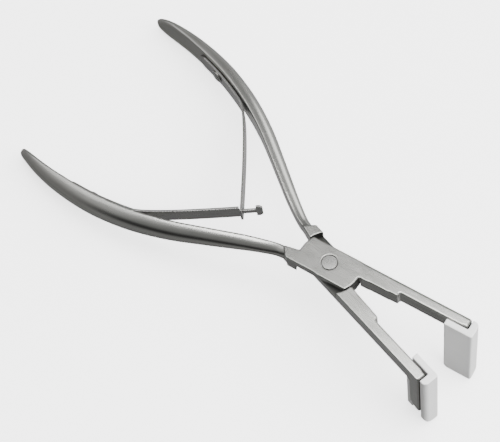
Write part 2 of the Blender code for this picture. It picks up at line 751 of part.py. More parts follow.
def stand(stance, forgings, sleeves, everything):
    """Lower the handles until the tips rest level with the sleeves, and centre the base."""
    handles = [point for point in world_points(forgings) if point.x < -PLATE_RADIUS]
    tilt = standing_tilt(world_points(sleeves), handles)
    stance.rotation_euler = (0, -tilt, 0)
    points = world_points(everything)
    along = [point.x for point in points]
    across = [point.y for point in points]
    stance.location = (
        -(min(along) + max(along)) / 2,
        -(min(across) + max(across)) / 2,
        -min(point.z for point in points),
    )


def main():
    clear_scene()
    parts = new_collection("hair_extension_pliers")
    cutters = new_collection("cutters")
    stance = new_empty("stance", parts)
    forgings = []
    sleeves = []
    others = []
    for half in (TOP_HALF, BOTTOM_HALF):
        first_new = set(parts.objects) | set(cutters.objects)
        rivet_hole = leaf_rivet_hole(half, cutters)
        forgings.append(forging(half, parts, cutters, rivet_hole))
        sleeves.append(sleeve(half, parts, cutters))
        others.append(spring_leaf(half, parts, cutters, rivet_hole))
        others.append(leaf_rivet(half, parts))
        pivot = new_empty(half.name + "_pivot", parts, stance)
        pivot.rotation_euler = (0, 0, OPENING_ANGLE / 2 * half.side)
        made_here = [made for made in list(parts.objects) + list(cutters.objects) if made not in first_new]
        parent_all([made for made in made_here if made is not pivot], pivot)
    others.append(pivot_rivet(parts))
    parent_all(others[-1:], stance)
    stand(stance, forgings, sleeves, forgings + sleeves + others)


main()
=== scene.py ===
"""Hair extension pliers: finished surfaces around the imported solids.

Sizes are in millimetres.  Each half is shaped in its own flat frame, as its solid is: the
pivot axis is z, +x runs along the closed jaws and z = 0 is the joint's upper face.  The top
half's handle lies on the negative y side, and the bottom half is its mirror image (side = -1).
The last step of each piece turns it into the row's frame.
"""

import json
import math

import bmesh
import bpy
from mathutils import Matrix, Vector


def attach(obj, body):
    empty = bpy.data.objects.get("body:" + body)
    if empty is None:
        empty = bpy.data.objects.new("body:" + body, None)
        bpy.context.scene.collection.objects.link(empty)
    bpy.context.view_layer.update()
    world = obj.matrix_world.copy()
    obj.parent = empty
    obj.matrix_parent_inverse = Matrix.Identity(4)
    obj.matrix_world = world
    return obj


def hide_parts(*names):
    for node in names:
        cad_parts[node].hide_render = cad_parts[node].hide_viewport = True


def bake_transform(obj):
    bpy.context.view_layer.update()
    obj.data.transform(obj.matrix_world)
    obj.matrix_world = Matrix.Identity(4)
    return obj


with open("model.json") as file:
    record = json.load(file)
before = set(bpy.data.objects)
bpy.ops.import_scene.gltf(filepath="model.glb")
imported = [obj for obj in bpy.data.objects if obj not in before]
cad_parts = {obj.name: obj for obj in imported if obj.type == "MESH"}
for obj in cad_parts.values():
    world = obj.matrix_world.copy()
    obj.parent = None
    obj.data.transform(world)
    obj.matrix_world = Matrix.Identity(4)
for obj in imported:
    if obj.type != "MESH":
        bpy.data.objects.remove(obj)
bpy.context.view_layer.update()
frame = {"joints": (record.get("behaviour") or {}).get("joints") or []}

METRES = 0.001

# Lap joint
JOINT_THICKNESS = 6.5
LAP_CLEARANCE = 0.25
PLATE_RADIUS = 10.8
SHOULDER_CLEARANCE = 0.3
JAW_SIDE_WIDTH = 5.4
HANDLE_SIDE_REAR_WIDTH = 5.5
HANDLE_SIDE_FRONT_WIDTH = 5.9
HALF_OPENING = math.radians(9.4)

# Shoulder between the plate and the handle
SHOULDER_REACH = 16.1
SHOULDER_INSET = 2.0
SHOULDER_ROOT_INSET = 0.4
SHOULDER_OUTER_REACH = 13.4
SHOULDER_INNER_ROUNDING = 0.35
SHOULDER_OUTER_ROUNDING = 0.7

# Sloped foot under the top half's shoulder: its top, its side, and the corners of its rear
FOOT_TOP = -3.6
FOOT_SIDE = 5.48
FOOT_UPPER_CORNERS = ((-14.6, -3.9), (-13.5, -5.35), (-11.6, -5.48))
FOOT_LOWER_CORNERS = ((-16.3, -4.0), (-12.9, -5.28), (-11.6, -5.48))

# Pivot rivet
PIVOT_HEAD_RADIUS = 2.55
PIVOT_HEAD_HEIGHT = 1.3
PIVOT_SHANK_RADIUS = 2.0
PIVOT_EDGE_ROUNDING = 0.16
PIVOT_CLEARANCE = 0.08

# Jaw arm and paddle
JAW_REACH = 49.5
JAW_MEETING_GAP = 0.15
JAW_INNER_TAPER = 0.5
JAW_STEP_PLACE = 24.8
JAW_STEP_RUN = 0.35
JAW_STEP_FILLET = 0.3
PADDLE_LENGTH = 4.5
PADDLE_DROP = 26.9
PADDLE_CORNER_RADIUS = 4.2
PADDLE_ROOT_RADIUS = 2.2
PADDLE_TAPER = 0.35
JAW_END_RADIUS = 0.5
JAW_END_BEVEL = 0.5
JAW_END_FALL = 0.14

# Sleeve
SLEEVE_SLAB = 2.05
SLEEVE_SLAB_GAP = 0.35
SLEEVE_PROUD = 0.45
SLEEVE_RIM = 0.5
SLEEVE_CLEARANCE = 0.2
SLEEVE_FRONT_GAP = 0.45
SLEEVE_FRONT_WALL = 2.45
SLEEVE_BACK_WALL = 2.4
SLEEVE_FRONT_WIDTH = 5.2
SLEEVE_BACK_WIDTH = 4.3
SLEEVE_HEIGHT = 35.0
SLEEVE_SLAB_CORNER = 2.0
SLEEVE_WALL_CORNER = 4.4
SLEEVE_FRONT_CORNER = 1.7
SLEEVE_END_BREAK = 0.6

# Handle
HANDLE_REACH = 114.9
HANDLE_START = 8.1
HANDLE_BOW = 18.5
GRIP_WIDTH = 11.0
GRIP_THICKNESS = 4.95
TIP_WIDTH_ROUNDING = 8.0
TIP_THICKNESS_ROUNDING = 1.4
TIP_END_LAND = 0.012
INNER_EDGE_ROUNDING = (0.25, 1.7)
INNER_EDGE_PLACES = (0.8, 0.95)

# Leaf springs
LEAF_THICKNESS = 0.8
LEAF_ROOT_WIDTH = 6.6
LEAF_TIP_WIDTH = 6.0
LEAF_ROOT_GAP = 0.12
LEAF_TAKE_OFF_GAP = 0.35
LEAF_ROOT_LEAD = 0.25
LEAF_ROOT_PLACE = 92.5
LEAF_RIVET_PLACE = 82.5
LEAF_TAKE_OFF_PLACE = 67.5
LEAF_BEND_LENGTH = 5.0
LEAF_CROSSING_BACK = 36.0
LEAF_CROSSING_SIDE = 3.2
TONGUE_WIDTH = 2.1
TONGUE_BEFORE_CROSSING = 0.8
TONGUE_AFTER_CROSSING = 4.8
T_HEAD_LENGTH = 2.2
T_HEAD_CHAMFER = 0.9
SLOT_LENGTH = 2.2
SLOT_CLEARANCE = 0.35
SLOT_END_BRIDGE = 0.9
SLOT_END_CHAMFER = 0.7

# Spring rivets
LEAF_RIVET_HEAD_RADIUS = 2.4
LEAF_RIVET_HEAD_HEIGHT = 0.95
LEAF_RIVET_RIM = 0.2
LEAF_RIVET_SEAT = 1.0
LEAF_RIVET_SHANK_RADIUS = 1.25
LEAF_RIVET_DEPTH = 2.6

# How far the cutting solids reach past what they cut
OVERRUN = 3.0

# Fineness
ARC_STEP = math.radians(5)
ROUND_SEGMENTS = 192
TURNED_SEGMENTS = 96
SECTION_STEPS = 96
HANDLE_STATIONS = 130
TIP_STATIONS = 20
LEAF_STATIONS = 60
SLOPE_SHARE = 0.0045
WELD_DISTANCE = 0.002
FORGING_VOXEL = 0.27
FORGING_PASSES = 4
SLEEVE_VOXEL = 0.2
SLEEVE_PASSES = 7
LEAF_VOXEL = 0.12
LEAF_PASSES = 3
SHARP_ANGLE = math.radians(35)
OWN_PLACE = "own_place"

# Handle, from the neck inside the joint to the tip: place along it, inset of its flat
# inner face, width, thickness, and the fullness of its rounded back.  It is a little fuller
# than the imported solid, most of all at the neck, to lie on the photograph's outline.
HANDLE_SHARES = (
    (0.000, 0.041, 0.680, 0.830, 6.0),
    (0.046, 0.071, 0.540, 0.640, 3.0),
    (0.074, 0.100, 0.515, 0.640, 2.4),
    (0.097, 0.114, 0.500, 0.675, 2.2),
    (0.130, 0.156, 0.500, 0.735, 2.2),
    (0.168, 0.219, 0.545, 0.785, 2.2),
    (0.205, 0.288, 0.605, 0.825, 2.2),
    (0.317, 0.522, 0.744, 0.890, 2.2),
    (0.430, 0.746, 0.859, 0.955, 2.2),
    (0.542, 0.900, 0.936, 1.005, 2.3),
    (0.655, 0.980, 0.991, 1.018, 2.3),
    (0.748, 0.990, 1.010, 0.968, 2.3),
    (0.842, 0.955, 1.000, 0.856, 2.3),
    (0.917, 0.893, 0.982, 0.700, 2.3),
    (0.973, 0.827, 0.950, 0.525, 2.2),
    (1.000, 0.784, 0.927, 0.444, 2.2),
)

# Leaf, from its root to its end: place along it, and how far its width has gone from root to tip
LEAF_WIDTH_SHARES = ((0.0, 0.0), (0.28, 0.03), (0.45, 0.45), (0.7, 0.85), (1.0, 1.0))

# Cells of each pattern in a millimetre, along, across and through the piece
BELT_STREAKS_PER_MM = (0.25, 2.4, 2.4)
BUFFING_CLOUDS_PER_MM = (0.12, 0.3, 0.3)
ROLLING_LINES_PER_MM = (0.12, 9.0, 9.0)
TEMPER_CLOUDS_PER_MM = (0.2, 0.4, 0.4)
TURNING_RINGS_PER_MM = 6.0
MOULD_GRAIN_PER_MM = (5.0, 5.0, 5.0)
MOULD_CLOUDS_PER_MM = (0.15, 0.15, 0.15)

# Depth of each relief
BELT_DEPTH = 0.006
ROLLING_DEPTH = 0.003
TURNING_DEPTH = 0.0015
MOULD_GRAIN_DEPTH = 0.01

# Screen colours: the darkest and lightest of each finish
POLISHED_TINTS = ("a4a4a0", "bbbbb7")
# Dark tint that paints shade into the lap recess, its rim walls and the paddle under the sleeve
PAINTED_SHADE_TINT = "4c4c4a"
SPRING_TINTS = ("9b9b99", "abaaa8")
RIVET_TINTS = ("a5a5a2", "b6b6b3")
PLASTIC_TINTS = ("ebebea", "f3f3f2")

# Roughness where each pattern is lowest and where it is highest
POLISHED_ROUGHNESS = (0.13, 0.2)
SPRING_ROUGHNESS = (0.18, 0.3)
RIVET_ROUGHNESS = (0.2, 0.32)
PLASTIC_ROUGHNESS = (0.38, 0.5)

# Roughness that haze, wear and cutting add to the polish, and where the wear ends on the handle
HAZE_ROUGHNESS = (0.04, 0.1)
WEAR_ROUGHNESS = 0.18
WEAR_END = 60.0
CUT_ROUGHNESS = 0.35

# How far inside each edge the milled and the covered steel, rougher and darkened by painted shade, stop
ROUND_MARGIN = 0.1
PLATE_RIM = 0.2
PLATE_SIDE_MARGIN = 0.35
PLATE_TOP_MARGIN = 0.3
LAP_FACE_MARGIN = 0.2
JOINT_TOP_MARGIN = 0.15
PADDLE_START_MARGIN = 0.3
ARM_SIDE_MARGIN = 0.3
ARM_TOP_MARGIN = 0.45

# Floor, in metres
FLOOR_HALF_WIDTH = 1.5
FLOOR_DROP = 0.0001
FLOOR_GLOW = 2.0

# Brightness of the room's corners: share of the way from straight down to straight up, level
FRONT_LEFT_WALL = (
    (0.0, 0.2), (0.13, 0.29), (0.31, 0.35), (0.44, 0.34),
    (0.55, 0.42), (0.68, 0.47), (0.76, 0.75), (1.0, 0.8),
)
FRONT_RIGHT_WALL = (
    (0.0, 0.17), (0.08, 0.28), (0.2, 0.34), (0.32, 0.26), (0.42, 0.06),
    (0.5, 0.03), (0.6, 0.06), (0.72, 0.27), (0.93, 0.36), (1.0, 0.7),
)
BACK_LEFT_WALL = ((0.0, 0.5), (0.32, 0.42), (0.6, 0.28), (0.84, 0.34), (0.88, 0.5), (0.93, 0.7), (1.0, 0.8))
BACK_RIGHT_WALL = ((0.0, 0.65), (0.3, 0.7), (0.5, 1.0), (0.6, 1.0), (0.8, 0.9), (1.0, 0.8))

# Where one corner passes into the next, across the room and into its depth
LEFT_TO_RIGHT = (-0.45, 0.0)
FRONT_TO_BACK = (-0.35, 0.25)

# Soft boxes: name, place and width in metres, brightness
SOFT_BOXES = (
    ("key_soft_box", (-0.21, 0.12, 0.97), 0.4, 7.8),
    ("left_soft_box", (-0.66, -0.16, 0.76), 0.45, 1.6),
    ("back_soft_box", (0.08, 1.0, 0.45), 0.6, 2.6),
    ("right_soft_box", (0.95, 0.35, 0.3), 0.6, 4.5),
    ("shadow_fill", (0.45, 0.25, 1.15), 1.6, 5.5),
)

# Camera: lens and sensor in millimetres, place in metres, turn in degrees
CAMERA_LENS = 115.2125
CAMERA_SENSOR = 36
CAMERA_CLIP_START = 0.01
CAMERA_PLACE = (0.111444, -0.152033, 0.513514)
CAMERA_TURN = (20.700684, -1.485743, 42.01277)


# Frames

def row_matrix(side):
    """Turns a half's own frame, in millimetres, into the row's frame, in metres."""
    joint = frame["joints"][0]
    up = Vector(joint["axis"]).normalized()
    across = Vector((0, 1, 0))
    along = across.cross(up)
    turned_axes = Matrix((along, across, up)).transposed().to_4x4()
    spin = Matrix.Rotation(HALF_OPENING * side, 4, "Z")
    lift = Matrix.Translation((0, 0, JOINT_THICKNESS * METRES / 2))
    return Matrix.Translation(joint["pos_m"]) @ turned_axes @ spin @ lift @ Matrix.Scale(METRES, 4)


# Shapes

def new_object(name, data):
    """Object at the origin, from a mesh, curve, light or camera."""
    made = bpy.data.objects.new(name, data)
    bpy.context.scene.collection.objects.link(made)
    return made


def evaluated_mesh(made):
    """New mesh with the object's modifiers applied."""
    bpy.context.view_layer.update()
    depsgraph = bpy.context.evaluated_depsgraph_get()
    return bpy.data.meshes.new_from_object(made.evaluated_get(depsgraph))


def keep_own_place(mesh, places):
    """Stores where each point lies in the piece's own frame, in millimetres, for its material."""
    attribute = mesh.attributes.new(OWN_PLACE, "FLOAT_VECTOR", "POINT")
    attribute.data.foreach_set("vector", [number for place in places for number in place])


def finished(made, name, matrix, own_place=None):
    """Plain mesh object at the origin, with the result of the modifiers placed in the row's frame."""
    mesh = evaluated_mesh(made)
    if OWN_PLACE not in mesh.attributes:
        keep_own_place(mesh, [own_place(vertex.co) if own_place else vertex.co for vertex in mesh.vertices])
    mesh.transform(matrix)
    bpy.data.objects.remove(made, do_unlink=True)
    mesh.shade_smooth()
    return new_object(name, mesh)


def rounded_outline(corners):
    """Closed outline through corners (x, y, radius), with an arc at each corner."""
    points = []
    for index, (x, y, radius) in enumerate(corners):
        corner = Vector((x, y))
        if radius == 0:
            points.append(corner)
            continue
        before = (Vector(corners[index - 1][:2]) - corner).normalized()
        after = (Vector(corners[(index + 1) % len(corners)][:2]) - corner).normalized()
        half_angle = before.angle(after) / 2
        reach = radius / math.tan(half_angle)
        centre = corner + (before + after).normalized() * radius / math.sin(half_angle)
        start = corner + before * reach - centre
        end = corner + after * reach - centre
        first = math.atan2(start.y, start.x)
        sweep = (math.atan2(end.y, end.x) - first + math.pi) % (2 * math.pi) - math.pi
        steps = max(2, math.ceil(abs(sweep) / ARC_STEP))
        for step in range(steps + 1):
            angle = first + sweep * step / steps
            points.append(centre + Vector((math.cos(angle), math.sin(angle))) * radius)
    return points


def flat_solid(name, outlines, low, high, turn=Matrix()):
    """Closed solid from flat outlines, the first the rim and the others holes, turned about the origin."""
    curve = bpy.data.curves.new(name, "CURVE")
    curve.dimensions = "2D"
    curve.fill_mode = "BOTH"
    curve.extrude = (high - low) / 2
    for outline in outlines:
        spline = curve.splines.new("POLY")
        spline.points.add(len(outline) - 1)
        for point, place in zip(spline.points, outline):
            point.co = (place[0], place[1], 0, 1)
        spline.use_cyclic_u = True
    drawn = new_object(name, curve)
    mesh = evaluated_mesh(drawn)
    bpy.data.objects.remove(drawn, do_unlink=True)
    form = bmesh.new()
    form.from_mesh(mesh)
    bmesh.ops.remove_doubles(form, verts=form.verts, dist=WELD_DISTANCE)
    bmesh.ops.translate(form, vec=(0, 0, (low + high) / 2), verts=form.verts)
    bmesh.ops.transform(form, matrix=turn, verts=form.verts)
    bmesh.ops.recalc_face_normals(form, faces=form.faces)
    form.to_mesh(mesh)
    form.free()
    return new_object(name, mesh)


def disc(name, radius, low, high):
    """Flat round solid about the pivot axis."""
    turns = [2 * math.pi * step / ROUND_SEGMENTS for step in range(ROUND_SEGMENTS)]
    outline = [(radius * math.cos(turn), radius * math.sin(turn)) for turn in turns]
    return flat_solid(name, [outline], low, high)


def turned(name, profile):
    """Solid of revolution about z; the profile (radius, z) runs from top to bottom."""
    form = bmesh.new()
    ring = [form.verts.new((radius, 0, z)) for radius, z in profile]
    edges = [form.edges.new(pair) for pair in zip(ring, ring[1:])]
    bmesh.ops.spin(
        form, geom=ring + edges, cent=(0, 0, 0), axis=(0, 0, 1), angle=2 * math.pi, steps=TURNED_SEGMENTS)
    bmesh.ops.remove_doubles(form, verts=form.verts, dist=WELD_DISTANCE)
    bmesh.ops.recalc_face_normals(form, faces=form.faces)
    mesh = bpy.data.meshes.new(name)
    form.to_mesh(mesh)
    form.free()
    return new_object(name, mesh)


def loft(name, rings):
    """Closed skin over rings of equally many points."""
    form = bmesh.new()
    levels = [[form.verts.new(place) for place in ring] for ring in rings]
    for lower, upper in zip(levels, levels[1:]):
        for index in range(len(lower)):
            following = (index + 1) % len(lower)
            form.faces.new((lower[index], lower[following], upper[following], upper[index]))
    form.faces.new(levels[0])
    form.faces.new(levels[-1])
    bmesh.ops.recalc_face_normals(form, faces=form.faces)
    mesh = bpy.data.meshes.new(name)
    form.to_mesh(mesh)
    form.free()
    return new_object(name, mesh)


def combine(target, steps):
    """Applies each (operation, solid) in turn, and deletes the solid."""
    for operation, tool in steps:
        modifier = target.modifiers.new(operation, "BOOLEAN")
        modifier.operation = operation
        modifier.solver = "EXACT"
        modifier.object = tool
    mesh = evaluated_mesh(target)
    target.modifiers.clear()
    target.data = mesh
    for operation, tool in steps:
        bpy.data.objects.remove(tool, do_unlink=True)
    return target


def soften(made, voxel, passes):
    """Remakes the skin in small even faces and smooths it, which rounds every edge a little."""
    remesh = made.modifiers.new("skin", "REMESH")
    remesh.mode = "VOXEL"
    remesh.voxel_size = voxel
    smooth = made.modifiers.new("rounding", "SMOOTH")
    smooth.factor = 0.5
    smooth.iterations = passes
    return made


# Nodes and materials

def add_node(tree, kind, settings=None, inputs=None):
    """Adds a node with its settings; an input is a value or a socket to link."""
    node = tree.nodes.new(kind)
    for key, value in (settings or {}).items():
        setattr(node, key, value)
    for key, value in (inputs or {}).items():
        if isinstance(value, bpy.types.NodeSocket):
            tree.links.new(value, node.inputs[key])
        else:
            node.inputs[key].default_value = value
    return node


def colour(code):
    """Linear colour of a six-digit screen colour."""
    levels = [int(code[place:place + 2], 16) / 255 for place in (0, 2, 4)]
    linear = [level / 12.92 if level <= 0.04045 else ((level + 0.055) / 1.055) ** 2.4 for level in levels]
    return (*linear, 1)


def new_material(name, values):
    """Material with its plain values on the shader's own sockets, and the place in the piece's own frame."""
    made = bpy.data.materials.new(name)
    made.use_nodes = True
    tree = made.node_tree
    shader = tree.nodes["Principled BSDF"]
    for key, value in values.items():
        shader.inputs[key].default_value = value
    place = add_node(tree, "ShaderNodeAttribute", {"attribute_name": OWN_PLACE}).outputs["Vector"]
    return made, tree, shader, place


def grain(tree, place, per_mm, detail=2.0):
    """Noise with so many cells in a millimetre along, across and through the piece."""
    stretched = add_node(tree, "ShaderNodeMapping", None, {"Vector": place, "Scale": per_mm})
    noise = add_node(tree, "ShaderNodeTexNoise", None, {
        "Vector": stretched.outputs["Vector"], "Scale": 1.0, "Detail": detail})
    return noise.outputs["Fac"]


def axis_distance(tree, place):
    """Distance in millimetres from the piece's own z axis."""
    level = add_node(tree, "ShaderNodeVectorMath", {"operation": "MULTIPLY"}, {0: place, 1: (1, 1, 0)})
    length = add_node(tree, "ShaderNodeVectorMath", {"operation": "LENGTH"}, {0: level.outputs["Vector"]})
    return length.outputs["Value"]


def patterned_finish(tree, shader, clouds, tints, fine, roughness, depth):
    """Tint from the cloudy pattern, roughness and relief (in millimetres) from the fine one."""
    tint = add_node(tree, "ShaderNodeMix", {"data_type": "RGBA"}, {
        0: clouds, 6: colour(tints[0]), 7: colour(tints[1])}).outputs[2]
    rough = add_node(tree, "ShaderNodeMapRange", None, {
        "Value": fine, "To Min": roughness[0], "To Max": roughness[1]}).outputs["Result"]
    relief = add_node(tree, "ShaderNodeBump", None, {
        "Height": fine, "Distance": depth * METRES, "Strength": 1.0}).outputs["Normal"]
    for socket, entry in ((tint, "Base Color"), (rough, "Roughness"), (relief, "Normal")):
        tree.links.new(socket, shader.inputs[entry])
    return tint, rough


def satin_forged_stainless(name, recess_low, recess_high):
    """Forged stainless steel, belt-polished, with its milled and covered faces rougher as cut and darkened
    by painted shade.
    """
    # It reads as silky grey, streaked along the handle and clouded by the buffing wheel, duller
    # towards the grips, and dull in the lap recess and under the sleeve, where painted shade darkens it.
    # Real belt lines lie some 0.05 mm apart, too fine to show, so these are 0.4 mm apart.
    made, tree, shader, place = new_material(name, {"Metallic": 1.0})
    streaks = grain(tree, place, BELT_STREAKS_PER_MM, 4.0)
    clouds = grain(tree, place, BUFFING_CLOUDS_PER_MM)
    polished, streaked = patterned_finish(
        tree, shader, clouds, POLISHED_TINTS, streaks, POLISHED_ROUGHNESS, BELT_DEPTH)
    known = {"streaked": streaked, "cut": CUT_ROUGHNESS}
    known["along"], known["across"], known["height"] = add_node(
        tree, "ShaderNodeSeparateXYZ", None, {"Vector": place}).outputs
    known["radius"] = axis_distance(tree, place)
    known["hazy"] = add_node(tree, "ShaderNodeMapRange", None, {
        "Value": clouds, "To Min": HAZE_ROUGHNESS[0], "To Max": HAZE_ROUGHNESS[1]}).outputs["Result"]
    known["worn"] = add_node(tree, "ShaderNodeMapRange", {"interpolation_type": "SMOOTHSTEP"}, {
        "Value": known["along"], "From Min": -HANDLE_REACH, "From Max": -WEAR_END,
        "To Min": WEAR_ROUGHNESS, "To Max": 0.0}).outputs["Result"]
    known["sideways"] = add_node(tree, "ShaderNodeMath", {"operation": "ABSOLUTE"}, {
        0: known["across"]}).outputs["Value"]
    known["back"] = add_node(tree, "ShaderNodeMath", {"operation": "MULTIPLY"}, {
        0: known["along"], 1: -1.0}).outputs["Value"]
    # Each mask is 1 where its measure is below the edge, and fades to 0 over the given softness.
    for mask, measure, edge, softness in (
        ("in_round", "radius", PLATE_RADIUS + SHOULDER_CLEARANCE + ROUND_MARGIN, 0.1),
        ("in_plate", "radius", PLATE_RADIUS - PLATE_RIM, 0.05),
        ("under_roof", "height", recess_high, 0.15),
        ("under_floor", "height", recess_low, 0.15),
        ("in_plate_width", "sideways", HANDLE_SIDE_REAR_WIDTH - PLATE_SIDE_MARGIN, 0.1),
        ("below_top", "height", -PLATE_TOP_MARGIN, 0.1),
        ("on_paddle", "back", PADDLE_LENGTH - JAW_REACH + PADDLE_START_MARGIN, 0.15),
        ("in_arm_width", "sideways", JAW_SIDE_WIDTH - ARM_SIDE_MARGIN, 0.1),
        ("below_arm_top", "height", -ARM_TOP_MARGIN, 0.1),
    ):
        known[mask] = add_node(tree, "ShaderNodeMapRange", {"interpolation_type": "SMOOTHSTEP"}, {
            "Value": known[measure], "From Min": edge - softness, "From Max": edge + softness,
            "To Min": 1.0, "To Max": 0.0}).outputs["Result"]
    # The milled and covered masks mark where the steel is rougher and also where shade is painted in.
    for result, operation, first, second in (
        ("recess_height", "SUBTRACT", "under_roof", "under_floor"),
        ("recess", "MULTIPLY", "in_round", "recess_height"),
        ("rim", "SUBTRACT", "in_round", "in_plate"),
        ("rim_width", "MULTIPLY", "rim", "in_plate_width"),
        ("rim_walls", "MULTIPLY", "rim_width", "below_top"),
        ("milled", "MAXIMUM", "recess", "rim_walls"),
        ("paddle_width", "MULTIPLY", "on_paddle", "in_arm_width"),
        ("covered", "MULTIPLY", "paddle_width", "below_arm_top"),
        ("unpolished_and_shaded", "MAXIMUM", "milled", "covered"),
        ("polish", "ADD", "streaked", "hazy"),
        ("wear", "ADD", "polish", "worn"),
        ("cut_dullness", "MULTIPLY", "unpolished_and_shaded", "cut"),
        ("roughness", "ADD", "wear", "cut_dullness"),
    ):
        known[result] = add_node(tree, "ShaderNodeMath", {"operation": operation}, {
            0: known[first], 1: known[second]}).outputs["Value"]
    # Painted shade: the recess, its rim walls and the paddle under the sleeve take the dark tint in place of
    # the polish.
    tint = add_node(tree, "ShaderNodeMix", {"data_type": "RGBA"}, {
        0: known["unpolished_and_shaded"], 6: polished, 7: colour(PAINTED_SHADE_TINT)})
    tree.links.new(tint.outputs[2], shader.inputs["Base Color"])
    tree.links.new(known["roughness"], shader.inputs["Roughness"])
    return made


def rolled_spring_steel():
    """Cold-rolled spring strip, tempered."""
    # It reads darker and smoother than the forgings, with faint rolling lines along the leaf.
    # Real rolling lines are finer than 0.05 mm; these are 0.1 mm apart, so that they show close up.
    made, tree, shader, place = new_material("rolled_spring_steel", {"Metallic": 1.0})
    lines = grain(tree, place, ROLLING_LINES_PER_MM)
    clouds = grain(tree, place, TEMPER_CLOUDS_PER_MM)
    patterned_finish(tree, shader, clouds, SPRING_TINTS, lines, SPRING_ROUGHNESS, ROLLING_DEPTH)
    return made


def turned_rivet_steel():
    """Stainless rivet, turned and then planished flat."""
    # It reads as bright as the forgings, with faint rings round its axis, 0.17 mm apart.
    made, tree, shader, place = new_material("turned_rivet_steel", {"Metallic": 1.0})
    rings = add_node(tree, "ShaderNodeTexNoise", {"noise_dimensions": "1D"}, {
        "W": axis_distance(tree, place), "Scale": TURNING_RINGS_PER_MM, "Detail": 2.0}).outputs["Fac"]
    patterned_finish(tree, shader, rings, RIVET_TINTS, rings, RIVET_ROUGHNESS, TURNING_DEPTH)
    return made


def moulded_white_plastic():
    """White plastic, injection-moulded in a spark-eroded mould."""
    # It reads as matt white that lets a little light in at its edges, with a very fine even grain,
    # 0.2 mm across, and hardly any cloudiness.
    made, tree, shader, place = new_material("moulded_white_plastic", {
        "Subsurface Weight": 0.06, "Subsurface Radius": (1.0, 1.0, 0.9), "Subsurface Scale": 0.0008,
        "Specular IOR Level": 0.4})
    fine = grain(tree, place, MOULD_GRAIN_PER_MM)
    clouds = grain(tree, place, MOULD_CLOUDS_PER_MM)
    patterned_finish(tree, shader, clouds, PLASTIC_TINTS, fine, PLASTIC_ROUGHNESS, MOULD_GRAIN_DEPTH)
    return made


# Handle

def smooth_share(table, place, column):
    """Value of a table's column at a place along it, on a smooth curve through its rows."""
    last = len(table) - 2
    row = max(0, min(last, sum(1 for entry in table if entry[0] <= place) - 1))
    before = table[max(0, row - 1)]
    start = table[row]
    end = table[row + 1]
    after = table[min(last + 1, row + 2)]
    span = end[0] - start[0]
    leave = (end[column] - before[column]) / (end[0] - before[0]) * span
    arrive = (after[column] - start[column]) / (after[0] - start[0]) * span
    t = (place - start[0]) / span
    rise = end[column] - start[column]
    bulge = leave * (1 - t) - arrive * t + rise * (2 * t - 1)
    return start[column] + rise * t + t * (1 - t) * bulge


def handle_place(distance):
    """Share along the handle at a distance from the pivot."""
    return (distance - HANDLE_START) / (HANDLE_REACH - HANDLE_START)


def inner_face(place):
    """Point of the handle's flat inner face at a share along it."""
    distance = HANDLE_START + (HANDLE_REACH - HANDLE_START) * place
    return Vector((-distance, -HANDLE_BOW * smooth_share(HANDLE_SHARES, place, 1)))


def inner_frame(place):
    """Point of the inner face, its direction towards the tip, and its outward normal."""
    ahead = inner_face(min(1, place + SLOPE_SHARE))
    behind = inner_face(max(0, place - SLOPE_SHARE))
    along = (ahead - behind).normalized()
    return inner_face(place), along, Vector((along.y, -along.x))


def end_rounding(remaining, length):
    """Share of full size left near an end that is rounded over a length."""
    if remaining >= length:
        return 1.0
    inset = 1 - remaining / length
    return math.sqrt(max(0, 1 - inset * inset))


def handle_section(place, side):
    """Ring of points round the handle: a flat inner face and a full, rounded back."""
    origin, _, inward = inner_frame(place)
    remaining = (1 - place) * (HANDLE_REACH - HANDLE_START)
    width = GRIP_WIDTH * smooth_share(HANDLE_SHARES, place, 2)
    width *= end_rounding(remaining, TIP_WIDTH_ROUNDING)
    depth = GRIP_THICKNESS * smooth_share(HANDLE_SHARES, place, 3)
    rounded_depth = depth * end_rounding(remaining, TIP_THICKNESS_ROUNDING)
    fullness = smooth_share(HANDLE_SHARES, place, 4)
    start, end = INNER_EDGE_PLACES
    share = max(0.0, min(1.0, (place - start) / (end - start)))
    edge = INNER_EDGE_ROUNDING[0] + (INNER_EDGE_ROUNDING[1] - INNER_EDGE_ROUNDING[0]) * share
    edge = min(edge, rounded_depth / 2, width / 4)
    ring = []
    for step in range(SECTION_STEPS + 1):
        angle = math.pi * step / SECTION_STEPS
        across = math.copysign(abs(math.cos(angle)) ** (2 / fullness), math.cos(angle)) * width / 2
        back = math.sin(angle) ** (2 / fullness) * rounded_depth
        if back < edge:
            limit = width / 2 - edge + math.sqrt(edge * edge - (edge - back) ** 2)
            across = max(-limit, min(limit, across))
        spot = origin - inward * (back + (depth - rounded_depth) / 2)
        ring.append((spot.x, spot.y * side, across - JOINT_THICKNESS / 2))
    return ring


def handle_blank(name, side):
    """Lofted handle, from inside the joint to its rounded tip."""
    length = HANDLE_REACH - HANDLE_START
    tip_share = TIP_WIDTH_ROUNDING / length
    places = [(1 - tip_share) * step / HANDLE_STATIONS for step in range(HANDLE_STATIONS)]
    places += [1 - tip_share * math.cos(math.pi / 2 * step / TIP_STATIONS) for step in range(TIP_STATIONS)]
    places.append(1 - TIP_END_LAND / length)
    return loft(name, [handle_section(place, side) for place in places])


# Forgings

def upright():
    """Turns an outline drawn in the side view (x, z) upright, with its thickness along -y."""
    return Matrix.Rotation(math.radians(90), 4, "X")


def joint_plate(side):
    """Round plate of the joint, cut flat along both sides."""
    reach = PLATE_RADIUS + OVERRUN
    strip = flat_solid("strip", [[
        (-reach, -HANDLE_SIDE_REAR_WIDTH * side),
        (reach, -HANDLE_SIDE_FRONT_WIDTH * side),
        (reach, JAW_SIDE_WIDTH * side),
        (-reach, JAW_SIDE_WIDTH * side),
    ]], -JOINT_THICKNESS - OVERRUN, OVERRUN)
    return combine(disc("plate", PLATE_RADIUS, -JOINT_THICKNESS, 0), [("INTERSECT", strip)])


